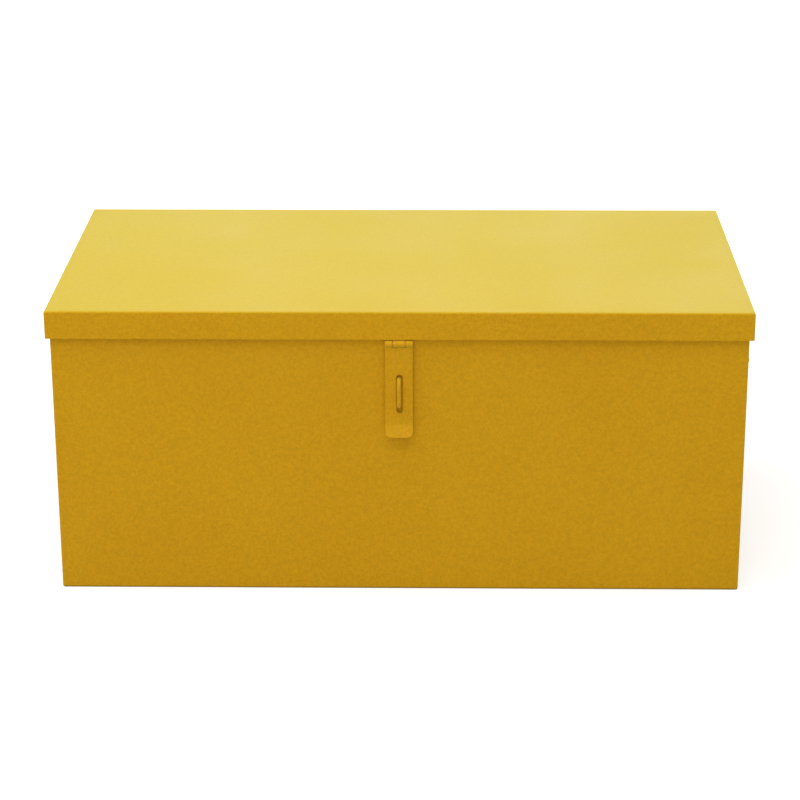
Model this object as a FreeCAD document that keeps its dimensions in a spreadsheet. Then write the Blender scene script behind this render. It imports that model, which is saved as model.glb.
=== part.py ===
"""Jobsite storage box: a welded sheet-steel chest with an overlapping lid on a continuous hinge,
a padlock hasp and staple, a slotted lid stay and a fold-down handle on each end.

Millimetres. The origin is the centre of the underside. X runs along the box, the front faces -Y,
and +Z is up. Every sub-part is drawn where it sits with the lid shut and the handles hanging.
"""

import FreeCAD, Part
import os
import Sketcher

Vector = FreeCAD.Vector

doc = FreeCAD.newDocument("jobsite_storage_box")

# ---------------------------------------------------------------------------------------------
# Driving dimensions, one named cell each
# ---------------------------------------------------------------------------------------------

SIZES = [
    ("lid_width", "762", "lid, outside, left to right"),
    ("lid_depth", "406.4", "lid, outside, front to back"),
    ("total_height", "325.4", "ground to the top of the lid"),
    ("lip_height", "31", "lid, top to the lower edge of its lips"),
    ("lid_overhang", "4.7", "outer face of a lid lip beyond the wall that it covers"),
    ("lid_rest_gap", "0.4", "paint and play between the rim and the underside of the lid"),
    ("sheet", "1.5", "thickness of the box and lid sheet"),
    ("bend_inside", "0.5", "inside radius of the folded edges"),
    ("rim_width", "16", "inward fold along the top of the four walls"),
    ("weld_flange", "16", "inward fold of an end panel along the front, back and floor"),
    ("flange_relief", "6", "cut-away at the corners of those flanges"),
    ("ground_corner", "3", "rounding ground on the welded bottom corners"),
    ("ground_edge", "1", "rounding ground on the welded upright edges"),
    ("hinge_knuckle", "25.4", "pitch of the continuous hinge's knuckles"),
    ("hinge_end_gap", "30", "least space from an end of the hinge to the side of the lid"),
    ("hinge_leaf_thickness", "1.5", "thickness of both hinge leaves"),
    ("hinge_body_leaf_height", "26", "box leaf, pin centre to lower edge"),
    ("hinge_lid_leaf_height", "27", "lid leaf, pin centre to upper edge"),
    ("hinge_pin_diameter", "3.2", "continuous hinge pin"),
    ("hinge_play", "0.05", "radial clearance of the pin in a knuckle"),
    ("pin_chamfer", "0.4", "chamfer on the ends of both hinges' pins"),
    ("knuckle_gap", "0.4", "end clearance between the continuous hinge's knuckles"),
    ("swing_gap", "0.4", "clearance of a turning knuckle from what it passes"),
    ("lid_open_angle", "110", "how far the lid opens, degrees"),
    ("stiffener_end_gap", "61", "end of the channel under the lid to the side of the lid"),
    ("stiffener_crown", "30", "width of the channel's crown"),
    ("stiffener_depth", "12", "depth of the channel"),
    ("stiffener_foot", "13", "width of each foot of the channel"),
    ("stiffener_thickness", "1.2", "thickness of the channel sheet"),
    ("hasp_width", "29.8", "width of the strap"),
    ("hasp_thickness", "2", "thickness of the strap"),
    ("hasp_stand_off", "3.7", "space between the front wall and the strap"),
    ("hasp_pin_diameter", "3.2", "hasp hinge pin"),
    ("hasp_knuckle_radius", "3.7", "outside radius of the hasp's knuckles"),
    ("hasp_lip_gap", "1.2", "lower edge of the lip to the hasp's knuckles"),
    ("hasp_centre_knuckle", "13", "length of the fixed leaf's knuckle"),
    ("hasp_knuckle_gap", "0.7", "end clearance between that knuckle and the strap's two"),
    ("hasp_notch_gap", "0.25", "that knuckle to the strap's notch, all round"),
    ("hasp_leaf_height", "22", "fixed leaf, above the lower edge of the lip"),
    ("hasp_corner", "6", "rounding of the strap's lower corners"),
    ("slot_top", "34.3", "strap slot, pin centre to the upper end"),
    ("slot_offset", "0.6", "middle of the strap slot, right of the middle of the strap"),
    ("strap_below_slot", "13", "strap, lower end of its slot to the fold of its finger tab"),
    ("tab_length", "15", "finger tab at the end of the strap"),
    ("tab_angle", "22", "outward bend of the finger tab, degrees"),
    ("tab_bend", "6", "inside radius of the finger tab's fold"),
    ("staple_rod", "3.8", "rod diameter of the staple"),
    ("staple_reach", "19", "front wall to the outside of the staple"),
    ("staple_slot_gap", "3.6", "staple to the upper end of the strap slot"),
    ("staple_low_gap", "8.4", "staple to the lower end of the strap slot"),
    ("staple_side_gap", "1.7", "staple's rod to a side of the strap slot, were it central"),
    ("staple_offset", "-0.55", "staple, right of the middle of the slot"),
    ("staple_height", "32.5", "staple, outside, top to bottom"),
    ("staple_bend", "7", "bend radius of the staple's rod, at its centre"),
    ("staple_hole_play", "0.1", "radial clearance of the staple in its holes"),
    ("staple_tail", "1.6", "ends of the staple beyond its backing plate"),
    ("backing_thickness", "2", "plate behind the staple"),
    ("backing_width", "40", "plate behind the staple, left to right"),
    ("backing_margin", "10", "plate behind the staple, beyond its legs"),
    ("handle_lip_gap", "46.5", "upper edge of a handle plate to the lid's lip above it"),
    ("handle_plate_thickness", "2", "thickness of a handle plate"),
    ("handle_plate_length", "166", "handle plate, front to back"),
    ("handle_plate_above", "22", "handle plate, above the pivot"),
    ("handle_plate_below", "60", "handle plate, below the pivot"),
    ("handle_plate_corner", "8", "corner radius of a handle plate"),
    ("ear_thickness", "3", "lug that carries the end of the bail"),
    ("ear_margin", "3.3", "metal of a lug round its hole"),
    ("bail_rod", "7", "rod diameter of a bail"),
    ("bail_drop", "45", "bail, pivot to the centre of its grip"),
    ("bail_bend", "7", "bend radius of the bail's rod, at its centre"),
    ("bail_play", "0.08", "radial clearance of the bail in its lugs"),
    ("bail_tail", "2.5", "end of the bail beyond its lug"),
    ("stop_reach", "7", "stop tab, beyond the pivot"),
    ("stop_width", "11", "width of a stop tab"),
    ("stop_gap", "0.4", "stop tab to the bail's rod"),
    ("grip_diameter", "16", "sleeve on the bail"),
    ("grip_length", "92", "sleeve on the bail, front to back"),
    ("grip_end_gap", "4", "end of the sleeve to the bend of the bail"),
    ("grip_gap", "1", "sleeve to the plate, with the handle hanging"),
    ("grip_rounding", "2", "rounding of the sleeve's ends"),
    ("rivet_shank", "4.8", "handle rivets, shank diameter"),
    ("rivet_head", "9.6", "handle rivets, outer head diameter"),
    ("rivet_head_height", "2.2", "handle rivets, outer head"),
    ("rivet_head_rounding", "1.7", "handle rivets, rounding of the outer head"),
    ("rivet_tail", "7.6", "handle rivets, inner head diameter"),
    ("rivet_tail_height", "1.8", "handle rivets, inner head"),
    ("rivet_tail_rounding", "1", "handle rivets, rounding of the inner head"),
    ("rivet_play", "0.05", "radial clearance of a rivet in its holes"),
    ("rivet_edge", "8", "handle rivets, centre to the edge of the plate"),
    ("stay_setback", "118", "lid stay, hinge axis to its pivot and stud, front to back"),
    ("stay_thickness", "2", "thickness of the stay arm"),
    ("stay_width", "18", "width of the stay arm"),
    ("stay_pivot_diameter", "6", "rivet that the stay arm turns on"),
    ("stay_pivot_play", "0.06", "radial clearance of the stay arm on its rivet"),
    ("stay_stud_diameter", "6", "stud that the stay arm slides on"),
    ("stay_slot_play", "0.4", "clearance of the stud in the arm's slot, all round"),
    ("stay_side_gap", "1.5", "rim to the stay bracket"),
    ("stay_layer_gap", "0.4", "clearance on each face of the stay arm"),
    ("stay_top_gap", "2.55", "stay arm to the foot of its bracket"),
    ("stay_bracket_thickness", "2", "thickness of the stay bracket"),
    ("stay_bracket_length", "34", "stay bracket, front to back"),
    ("stay_bracket_foot", "20", "stay bracket, welded foot"),
    ("stay_bracket_corner", "4.5", "rounding of the stay bracket's lower corners"),
    ("stay_pivot_head", "12", "head of the stay's rivet, diameter"),
    ("stay_pivot_tail", "9.6", "other head of the stay's rivet, diameter"),
    ("stud_shank", "11", "diameter of the stud's thick shank"),
    ("stud_base", "20", "diameter of the stud's welded base"),
    ("stud_base_thickness", "3", "thickness of that base"),
    ("stud_head", "9", "end of the stud closed over its washer, diameter"),
    ("washer_diameter", "15", "washer that keeps the stay arm on its stud"),
    ("washer_thickness", "1.6", "thickness of that washer"),
    ("peened_head_height", "2", "height of the heads closed on the stay's rivet and stud"),
    ("peened_taper", "0.9", "narrowing of those heads towards their ends, all round"),
]

sheet = doc.addObject("Spreadsheet::Sheet", "Sizes")
for row, (alias, number, meaning) in enumerate(SIZES, start=1):
    sheet.set(f"A{row}", meaning)
    sheet.set(f"B{row}", number)
    sheet.setAlias(f"B{row}", alias)
doc.recompute()

# ---------------------------------------------------------------------------------------------
# Places that several sub-parts share, as expressions on those cells
# ---------------------------------------------------------------------------------------------

half_width = "(Sizes.lid_width / 2 - Sizes.lid_overhang)"
half_depth = "(Sizes.lid_depth / 2 - Sizes.lid_overhang)"
inner_half_width = f"({half_width} - Sizes.sheet)"
inner_half_depth = f"({half_depth} - Sizes.sheet)"
lid_underside = "(Sizes.total_height - Sizes.sheet)"
rim_top = f"({lid_underside} - Sizes.lid_rest_gap)"
rim_half_depth = f"({half_depth} - Sizes.rim_width)"
rim_half_width = f"({half_width} - Sizes.rim_width)"
lip_bottom = "(Sizes.total_height - Sizes.lip_height)"
lip_inner_y = "(Sizes.lid_depth / 2 - Sizes.sheet)"
bend_outside = "(Sizes.bend_inside + Sizes.sheet)"

hinge_bore = "(Sizes.hinge_pin_diameter / 2 + Sizes.hinge_play)"
hinge_radius = f"({hinge_bore} + Sizes.hinge_leaf_thickness)"
hinge_y = f"({half_depth} + Sizes.swing_gap + {hinge_radius})"
hinge_z = f"({lip_bottom} - Sizes.swing_gap - {hinge_radius})"
knuckle_pairs = (
    "floor(((Sizes.lid_width - 2 * Sizes.hinge_end_gap) / Sizes.hinge_knuckle - 1) / 2)"
)
hinge_length = f"(Sizes.hinge_knuckle * (2 * {knuckle_pairs} + 1))"

hasp_y = f"(-{half_depth} - Sizes.swing_gap - Sizes.hasp_knuckle_radius)"
hasp_z = f"({lip_bottom} - Sizes.hasp_lip_gap - Sizes.hasp_knuckle_radius)"
hasp_bore = "(Sizes.hasp_pin_diameter / 2 + Sizes.hinge_play)"
strap_back_y = f"(-{half_depth} - Sizes.hasp_stand_off)"
strap_front_y = f"({strap_back_y} - Sizes.hasp_thickness)"
slot_width = "(Sizes.staple_rod + 2 * Sizes.staple_side_gap)"
slot_high_end = f"({hasp_z} - Sizes.slot_top)"
slot_low_end = (
    f"({slot_high_end} - Sizes.staple_slot_gap - Sizes.staple_height - Sizes.staple_low_gap)"
)
staple_x = "(Sizes.slot_offset + Sizes.staple_offset)"
staple_top = f"({slot_high_end} - Sizes.staple_slot_gap - Sizes.staple_rod / 2)"
staple_low = f"({staple_top} - Sizes.staple_height + Sizes.staple_rod)"
staple_hole = "(Sizes.staple_rod / 2 + Sizes.staple_hole_play)"
backing_inner_y = f"(-{inner_half_depth} + Sizes.backing_thickness)"

handle_z = f"({lip_bottom} - Sizes.handle_lip_gap - Sizes.handle_plate_above)"
plate_face = "Sizes.handle_plate_thickness"
pivot_out = f"({plate_face} + Sizes.grip_gap + Sizes.grip_diameter / 2)"
bail_leg = "(Sizes.grip_length / 2 + Sizes.grip_end_gap + Sizes.bail_bend)"
ear_inner = f"({bail_leg} + Sizes.bail_bend + Sizes.swing_gap)"
rivet_out_y = "(Sizes.handle_plate_length / 2 - Sizes.rivet_edge)"
rivet_high = "(Sizes.handle_plate_above - Sizes.rivet_edge)"
rivet_low = "(Sizes.rivet_edge - Sizes.handle_plate_below)"

stay_y = f"({hinge_y} - Sizes.stay_setback)"
stay_foot_low = f"({lid_underside} - Sizes.stay_bracket_thickness)"
stay_pivot_z = f"({stay_foot_low} - Sizes.stay_top_gap - Sizes.stay_width / 2)"
stay_rise = f"({stay_pivot_z} - {hinge_z})"
stay_stud_z = f"({hinge_z} - {stay_rise})"
stay_bracket_face = f"({rim_half_width} - Sizes.stay_side_gap - Sizes.stay_bracket_thickness)"
stay_outer_x = f"({stay_bracket_face} - Sizes.stay_layer_gap)"
stay_inner_x = f"({stay_outer_x} - Sizes.stay_thickness)"
stay_reach_open = (
    f"(2 * sqrt(Sizes.stay_setback ^ 2 + {stay_rise} ^ 2)"
    f" * sin(atan({stay_rise} / Sizes.stay_setback) + Sizes.lid_open_angle / 2 * 1 deg))"
)

# ---------------------------------------------------------------------------------------------
# Drawing helpers
# ---------------------------------------------------------------------------------------------

ROUNDING = 1e-3  # mm, two places closer than this are the same place
PARALLEL = 0.9  # least share of an edge's direction along an axis that it is said to follow


def size(expression):
    """The present number of an expression on the sheet."""
    return float(sheet.evalExpression(str(expression)))


def new_body(label):
    return doc.addObject("PartDesign::Body", label)


def origin_feature(body, role):
    return next(f for f in body.Origin.OriginFeatures if f.Role == role)


def new_sketch(body, plane, level="0"):
    """An empty sketch parallel to an origin plane, at that coordinate along the plane's axis."""
    sketch = body.newObject("Sketcher::SketchObject", f"{body.Label}_sketch")
    sketch.AttachmentSupport = [(origin_feature(body, plane), "")]
    sketch.MapMode = "FlatFace"
    along_normal = f"-({level})" if plane == "XZ_Plane" else level
    sketch.setExpression("AttachmentOffset.Base.z", along_normal)
    return sketch


def bind(sketch, kind, where, expression):
    """Holds one measure of the sketch to an expression."""
    index = sketch.addConstraint(Sketcher.Constraint(kind, *where, size(expression)))
    sketch.setExpression(f"Constraints[{index}]", str(expression))


def hold_point(sketch, geometry, vertex, corner):
    bind(sketch, "DistanceX", (-1, 1, geometry, vertex), corner[0])
    bind(sketch, "DistanceY", (-1, 1, geometry, vertex), corner[1])


def at(corner):
    return Vector(size(corner[0]), size(corner[1]), 0)


def polygon(sketch, corners):
    """A closed outline of straight lines through the corners."""
    first = sketch.GeometryCount
    for i, corner in enumerate(corners):
        following = corners[(i + 1) % len(corners)]
        sketch.addGeometry(Part.LineSegment(at(corner), at(following)), False)
    for i, corner in enumerate(corners):
        here = first + i
        following = first + (i + 1) % len(corners)
        sketch.addConstraint(Sketcher.Constraint("Coincident", here, 2, following, 1))
        hold_point(sketch, here, 1, corner)


def rectangle(sketch, low, high):
    polygon(sketch, [low, (high[0], low[1]), high, (low[0], high[1])])


def circle(sketch, centre, radius):
    ring = sketch.addGeometry(Part.Circle(at(centre), Vector(0, 0, 1), size(radius)), False)
    hold_point(sketch, ring, 3, centre)
    bind(sketch, "Radius", (ring,), radius)


def upright_slot(sketch, high, low, radius):
    """A slot with round ends, from the upper end's centre to the lower end's."""
    top, bottom, reach = at(high), at(low), Vector(size(radius), 0, 0)
    rise = Vector(0, size(radius), 0)
    first = sketch.addGeometry(Part.Arc(top + reach, top + rise, top - reach), False)
    sketch.addGeometry(Part.LineSegment(top - reach, bottom - reach), False)
    sketch.addGeometry(Part.Arc(bottom - reach, bottom - rise, bottom + reach), False)
    sketch.addGeometry(Part.LineSegment(bottom + reach, top + reach), False)
    for step in range(4):
        here, following = first + step, first + (step + 1) % 4
        sketch.addConstraint(Sketcher.Constraint("Tangent", here, 2, following, 1))
    for arc, centre in ((first, high), (first + 2, low)):
        hold_point(sketch, arc, 3, centre)
    bind(sketch, "Radius", (first,), radius)


def corner_sliver(sketch, side):
    """What grinding takes off a bottom corner of the welded box: side is "" or "-"."""
    corner = (f"{side}{half_width}", "0")
    beside = (f"{side}({half_width} - Sizes.ground_corner)", "0")
    above = (corner[0], "Sizes.ground_corner")
    centre = Vector(size(beside[0]), size(above[1]), 0)
    middle = centre + (at(corner) - centre).normalize() * size("Sizes.ground_corner")
    first = sketch.addGeometry(Part.LineSegment(at(beside), at(corner)), False)
    sketch.addGeometry(Part.LineSegment(at(corner), at(above)), False)
    sketch.addGeometry(Part.Arc(at(above), middle, at(beside)), False)
    arc = first + 2
    sketch.addConstraint(Sketcher.Constraint("Coincident", first, 2, first + 1, 1))
    for vertex, point in ((1, above), (2, beside)):
        if (sketch.getPoint(arc, vertex) - at(point)).Length > ROUNDING:
            vertex = 3 - vertex
        line, line_end = (first + 1, 2) if point is above else (first, 1)
        sketch.addConstraint(Sketcher.Constraint("Coincident", line, line_end, arc, vertex))
        hold_point(sketch, line, line_end, point)
    hold_point(sketch, first, 2, corner)
    bind(sketch, "Radius", (arc,), "Sizes.ground_corner")


def bent_line(sketch, corners, bend):
    """An open path of level and upright runs, with an arc of the bend radius at each corner."""
    points = [at(corner) for corner in corners]
    count = len(corners)
    steps = [(points[i + 1] - points[i]).normalize() for i in range(count - 1)]
    radius = size(bend)

    def shifted(corner, step, sign):
        shift = []
        for value, along in zip(corner, (step.x, step.y)):
            turn = round(along) * sign
            shift.append(value if turn == 0 else f"({value} {'+' if turn > 0 else '-'} {bend})")
        return tuple(shift)

    previous = None
    for i, step in enumerate(steps):
        begin = corners[i] if i == 0 else shifted(corners[i], step, 1)
        end = corners[i + 1] if i == count - 2 else shifted(corners[i + 1], step, -1)
        if previous is not None:
            before = steps[i - 1]
            centre = points[i] + (step - before) * radius
            middle = centre + (before - step).normalize() * radius
            arc = sketch.addGeometry(Part.Arc(points[i] - before * radius, middle, at(begin)), False)
        line = sketch.addGeometry(Part.LineSegment(at(begin), at(end)), False)
        hold_point(sketch, line, 1, begin)
        hold_point(sketch, line, 2, end)
        if previous is not None:
            joined = (sketch.getPoint(arc, 1) - sketch.getPoint(previous, 2)).Length < ROUNDING
            arc_start = 1 if joined else 2
            sketch.addConstraint(Sketcher.Constraint("Coincident", previous, 2, arc, arc_start))
            sketch.addConstraint(Sketcher.Constraint("Coincident", line, 1, arc, 3 - arc_start))
            bind(sketch, "Radius", (arc,), bend)
        previous = line


def pad(body, sketch, length, both_ways=False):
    """Adds the sketch's area, up its plane's axis or evenly to both sides."""
    feature = body.newObject("PartDesign::Pad", f"{body.Label}_pad")
    feature.Profile = sketch
    feature.setExpression("Length", str(length))
    if both_ways:
        feature.SideType = "Symmetric"
    else:
        feature.Reversed = sketch.AttachmentSupport[0][0].Role == "XZ_Plane"
    doc.recompute()
    return feature


def cut(body, sketch, length=None):
    """Takes the sketch's area away, evenly to both sides: right through, or over that length."""
    before = body.Shape.Volume
    feature = body.newObject("PartDesign::Pocket", f"{body.Label}_pocket")
    feature.Profile = sketch
    feature.SideType = "Symmetric"
    if length is None:
        feature.Type = "ThroughAll"
    else:
        feature.setExpression("Length", str(length))
    doc.recompute()
    if not body.Shape.Volume < before - ROUNDING:
        raise RuntimeError(f"{body.Label}: a cut took nothing away")
    return feature


def round_edges(body, radius, chosen):
    """Rounds the body's edges for which chosen(middle, direction, length) is true."""
    tip = body.Tip
    names = []
    for number, edge in enumerate(tip.Shape.Edges, start=1):
        middle = edge.valueAt((edge.FirstParameter + edge.LastParameter) / 2)
        direction = edge.Vertexes[-1].Point - edge.Vertexes[0].Point
        if direction.Length > ROUNDING and chosen(middle, direction.normalize(), edge.Length):
            names.append(f"Edge{number}")
    if not names:
        raise RuntimeError(f"{body.Label}: no edge to round")
    feature = body.newObject("PartDesign::Fillet", f"{body.Label}_rounding")
    feature.Base = (tip, names)
    feature.setExpression("Radius", str(radius))
    doc.recompute()
    return feature


def near(value, expression):
    return abs(value - size(expression)) < ROUNDING


def round_rims(body, radius, chosen):
    """Rounds the body's full circles for which chosen(point on it, length) is true."""
    tip = body.Tip
    names = []
    for number, edge in enumerate(tip.Shape.Edges, start=1):
        if len(edge.Vertexes) == 1 and chosen(edge.Vertexes[0].Point, edge.Length):
            names.append(f"Edge{number}")
    if not names:
        raise RuntimeError(f"{body.Label}: no rim to round")
    feature = body.newObject("PartDesign::Fillet", f"{body.Label}_rounding")
    feature.Base = (tip, names)
    feature.setExpression("Radius", str(radius))
    doc.recompute()


def knuckle_row(body, features, count, length):
    """Repeats the features along X, count times over that length."""
    pattern = body.newObject("PartDesign::LinearPattern", f"{body.Label}_row")
    pattern.Originals = features
    pattern.Direction = (origin_feature(body, "X_Axis"), [""])
    pattern.setExpression("Length", str(length))
    pattern.setExpression("Occurrences", str(count))
    body.Tip = pattern
    doc.recompute()


def pipe_along(body, section, path):
    """A rod of the section along the path."""
    feature = body.newObject("PartDesign::AdditivePipe", f"{body.Label}_rod")
    feature.Profile = section
    feature.Spine = path
    doc.recompute()


def set_place(body, place, half_turn=False):
    for axis, expression in zip("xyz", place):
        body.setExpression(f"Placement.Base.{axis}", str(expression))
    if half_turn:
        body.Placement.Rotation = FreeCAD.Rotation(Vector(0, 0, 1), 180)


def turned(label, profile, place):
    """A round piece: the profile of (x, radius) corners spun about X, then set in its place."""
    body = new_body(label)
    sketch = new_sketch(body, "XY_Plane")
    polygon(sketch, profile)
    feature = body.newObject("PartDesign::Revolution", f"{label}_turning")
    feature.Profile = sketch
    feature.ReferenceAxis = (origin_feature(body, "X_Axis"), [""])
    feature.Angle = 360
    set_place(body, place)
    doc.recompute()


def hinge_pin(label, length, diameter, place):
    """A pin with chamfered ends, along X about its place."""
    half = f"({length} / 2)"
    radius = f"({diameter} / 2)"
    end_radius = f"({radius} - Sizes.pin_chamfer)"
    side_end = f"({half} - Sizes.pin_chamfer)"
    profile = [
        (f"-{half}", "0"),
        (half, "0"),
        (half, end_radius),
        (side_end, radius),
        (f"-{side_end}", radius),
        (f"-{half}", end_radius),
    ]
    turned(label, profile, place)


# ---------------------------------------------------------------------------------------------
# Box: one folded sheet for the front, floor and back, with an end panel welded in at each side
# ---------------------------------------------------------------------------------------------


def body_shell():
    """Front wall, floor and back wall in one sheet, folded in along the top as a rim."""
    body = new_body("body_shell")
    section = new_sketch(body, "YZ_Plane")
    rim_underside = f"({rim_top} - Sizes.sheet)"
    polygon(
        section,
        [
            (f"-{half_depth}", "0"),
            (half_depth, "0"),
            (half_depth, rim_top),
            (rim_half_depth, rim_top),
            (rim_half_depth, rim_underside),
            (inner_half_depth, rim_underside),
            (inner_half_depth, "Sizes.sheet"),
            (f"-{inner_half_depth}", "Sizes.sheet"),
            (f"-{inner_half_depth}", rim_underside),
            (f"-{rim_half_depth}", rim_underside),
            (f"-{rim_half_depth}", rim_top),
            (f"-{half_depth}", rim_top),
        ],
    )
    pad(body, section, f"2 * {half_width}", both_ways=True)

    def inside_fold(middle, direction, length):
        level = near(middle.z, "Sizes.sheet") or near(middle.z, rim_underside)
        return abs(direction.x) > PARALLEL and near(abs(middle.y), inner_half_depth) and level

    def outside_fold(middle, direction, length):
        level = near(middle.z, "0") or near(middle.z, rim_top)
        return abs(direction.x) > PARALLEL and near(abs(middle.y), half_depth) and level

    round_edges(body, "Sizes.bend_inside", inside_fold)
    round_edges(body, bend_outside, outside_fold)

    legs = new_sketch(body, "XZ_Plane", f"-{half_depth}")
    for leg in (staple_top, staple_low):
        circle(legs, (staple_x, leg), staple_hole)
    cut(body, legs, "4 * Sizes.sheet")

    grinding = new_sketch(body, "XZ_Plane")
    for side in ("", "-"):
        corner_sliver(grinding, side)
    cut(body, grinding)

    def upright_end(middle, direction, length):
        at_end = near(abs(middle.x), half_width) and near(abs(middle.y), half_depth)
        return abs(direction.z) > PARALLEL and at_end

    round_edges(body, "Sizes.ground_edge", upright_end)


def end_panel(label, left):
    """End wall, welded inside the shell by three flanges, with its own stretch of rim.

    Drawn as the right-hand panel, with x measured from the middle of the box.
    """
    body = new_body(label)
    web = new_sketch(body, "YZ_Plane", inner_half_width)
    polygon(
        web,
        [
            (f"-{inner_half_depth}", "Sizes.sheet"),
            (inner_half_depth, "Sizes.sheet"),
            (inner_half_depth, f"{rim_top} - Sizes.sheet"),
            (rim_half_depth, f"{rim_top} - Sizes.sheet"),
            (rim_half_depth, rim_top),
            (f"-{rim_half_depth}", rim_top),
            (f"-{rim_half_depth}", f"{rim_top} - Sizes.sheet"),
            (f"-{inner_half_depth}", f"{rim_top} - Sizes.sheet"),
        ],
    )
    pad(body, web, "Sizes.sheet")

    flanges = new_sketch(body, "YZ_Plane", f"{half_width} - Sizes.weld_flange")
    flange_side = f"({inner_half_depth} - Sizes.sheet)"
    flange_low = "(Sizes.sheet + Sizes.flange_relief)"
    flange_high = f"({rim_top} - Sizes.sheet - Sizes.flange_relief)"
    rectangle(flanges, (flange_side, flange_low), (inner_half_depth, flange_high))
    rectangle(flanges, (f"-{inner_half_depth}", flange_low), (f"-{flange_side}", flange_high))
    floor_end = f"({inner_half_depth} - Sizes.flange_relief)"
    rectangle(flanges, (f"-{floor_end}", "Sizes.sheet"), (floor_end, "2 * Sizes.sheet"))
    pad(body, flanges, "Sizes.weld_flange")

    rim = new_sketch(body, "YZ_Plane", rim_half_width)
    rectangle(rim, (f"-{rim_half_depth}", f"{rim_top} - Sizes.sheet"), (rim_half_depth, rim_top))
    pad(body, rim, "Sizes.rim_width")

    def rim_fold(middle, direction, length):
        return abs(direction.y) > PARALLEL and near(middle.x, half_width) and near(middle.z, rim_top)

    def rim_fold_inside(middle, direction, length):
        level = near(middle.z, f"{rim_top} - Sizes.sheet") and near(middle.x, inner_half_width)
        return abs(direction.y) > PARALLEL and level and length > size(rim_half_depth)

    def floor_corner(middle, direction, length):
        low = near(middle.z, "Sizes.sheet") and near(abs(middle.y), inner_half_depth)
        return abs(direction.x) > PARALLEL and low

    round_edges(body, bend_outside, rim_fold)
    round_edges(body, "Sizes.bend_inside", rim_fold_inside)
    round_edges(body, "Sizes.bend_inside", floor_corner)

    holes = new_sketch(body, "YZ_Plane", half_width)
    for side in ("", "-"):
        for height in (rivet_high, rivet_low):
            place = (f"{side}{rivet_out_y}", f"{handle_z} + {height}")
            circle(holes, place, "Sizes.rivet_shank / 2 + Sizes.rivet_play")
    cut(body, holes, "4 * Sizes.sheet")

    grinding = new_sketch(body, "XZ_Plane")
    corner_sliver(grinding, "")
    cut(body, grinding)
    set_place(body, ("0", "0", "0"), half_turn=left)


def staple():
    """Round bar bent to a U, through the front wall, for the padlock."""
    body = new_body("staple")
    tail = f"({backing_inner_y} + Sizes.staple_tail)"
    outside = f"(-{half_depth} - Sizes.staple_reach + Sizes.staple_rod / 2)"
    section = new_sketch(body, "XZ_Plane", tail)
    circle(section, (staple_x, staple_top), "Sizes.staple_rod / 2")
    path = new_sketch(body, "YZ_Plane", staple_x)
    bent_line(
        path,
        [(tail, staple_top), (outside, staple_top), (outside, staple_low), (tail, staple_low)],
        "Sizes.staple_bend",
    )
    pipe_along(body, section, path)


def staple_backing_plate():
    """Plate inside the front wall that spreads the staple's load."""
    body = new_body("staple_backing_plate")
    outline = new_sketch(body, "XZ_Plane", f"-{inner_half_depth}")
    rectangle(
        outline,
        ("-Sizes.backing_width / 2", f"{staple_low} - Sizes.backing_margin"),
        ("Sizes.backing_width / 2", f"{staple_top} + Sizes.backing_margin"),
    )
    pad(body, outline, "Sizes.backing_thickness")
    legs = new_sketch(body, "XZ_Plane", backing_inner_y)
    for leg in (staple_top, staple_low):
        circle(legs, (staple_x, leg), staple_hole)
    cut(body, legs, "4 * Sizes.backing_thickness")


# ---------------------------------------------------------------------------------------------
# Lid: a pan with four lips, a channel spot-welded under it
# ---------------------------------------------------------------------------------------------


def lid_pan():
    """Lid sheet with its four lips, corners welded and ground."""
    body = new_body("lid_pan")
    outline = new_sketch(body, "XY_Plane", lip_bottom)
    rectangle(
        outline,
        ("-Sizes.lid_width / 2", "-Sizes.lid_depth / 2"),
        ("Sizes.lid_width / 2", "Sizes.lid_depth / 2"),
    )
    pad(body, outline, "Sizes.lip_height")
    lip_inner_x = "(Sizes.lid_width / 2 - Sizes.sheet)"
    hollow = new_sketch(body, "XY_Plane", lip_bottom)
    rectangle(hollow, (f"-{lip_inner_x}", f"-{lip_inner_y}"), (lip_inner_x, lip_inner_y))
    cut(body, hollow, "2 * (Sizes.lip_height - Sizes.sheet)")

    def upright_corner(middle, direction, length):
        return abs(direction.z) > PARALLEL and near(abs(middle.x), "Sizes.lid_width / 2")

    def top_fold(middle, direction, length):
        return near(middle.z, "Sizes.total_height")

    def inside_fold(middle, direction, length):
        return near(middle.z, lid_underside)

    round_edges(body, "Sizes.ground_edge", upright_corner)
    round_edges(body, bend_outside, top_fold)
    round_edges(body, "Sizes.bend_inside", inside_fold)


def lid_stiffener():
    """Hat channel that keeps the lid flat."""
    body = new_body("lid_stiffener")
    section = new_sketch(body, "YZ_Plane")
    crown = "(Sizes.stiffener_crown / 2)"
    inner_crown = f"({crown} - Sizes.stiffener_thickness)"
    foot = f"({crown} + Sizes.stiffener_foot)"
    foot_low = f"({lid_underside} - Sizes.stiffener_thickness)"
    crown_low = f"({lid_underside} - Sizes.stiffener_depth)"
    crown_high = f"({crown_low} + Sizes.stiffener_thickness)"
    polygon(
        section,
        [
            (f"-{foot}", lid_underside),
            (f"-{inner_crown}", lid_underside),
            (f"-{inner_crown}", crown_high),
            (inner_crown, crown_high),
            (inner_crown, lid_underside),
            (foot, lid_underside),
            (foot, foot_low),
            (crown, foot_low),
            (crown, crown_low),
            (f"-{crown}", crown_low),
            (f"-{crown}", foot_low),
            (f"-{foot}", foot_low),
        ],
    )
    pad(body, section, "Sizes.lid_width - 2 * Sizes.stiffener_end_gap", both_ways=True)

    def crown_edge(middle, direction, length):
        return abs(direction.x) > PARALLEL and near(middle.z, crown_low)

    round_edges(body, "Sizes.stiffener_thickness", crown_edge)


# ---------------------------------------------------------------------------------------------
# Continuous hinge: two leaves with alternate knuckles on one pin
# ---------------------------------------------------------------------------------------------


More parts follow.
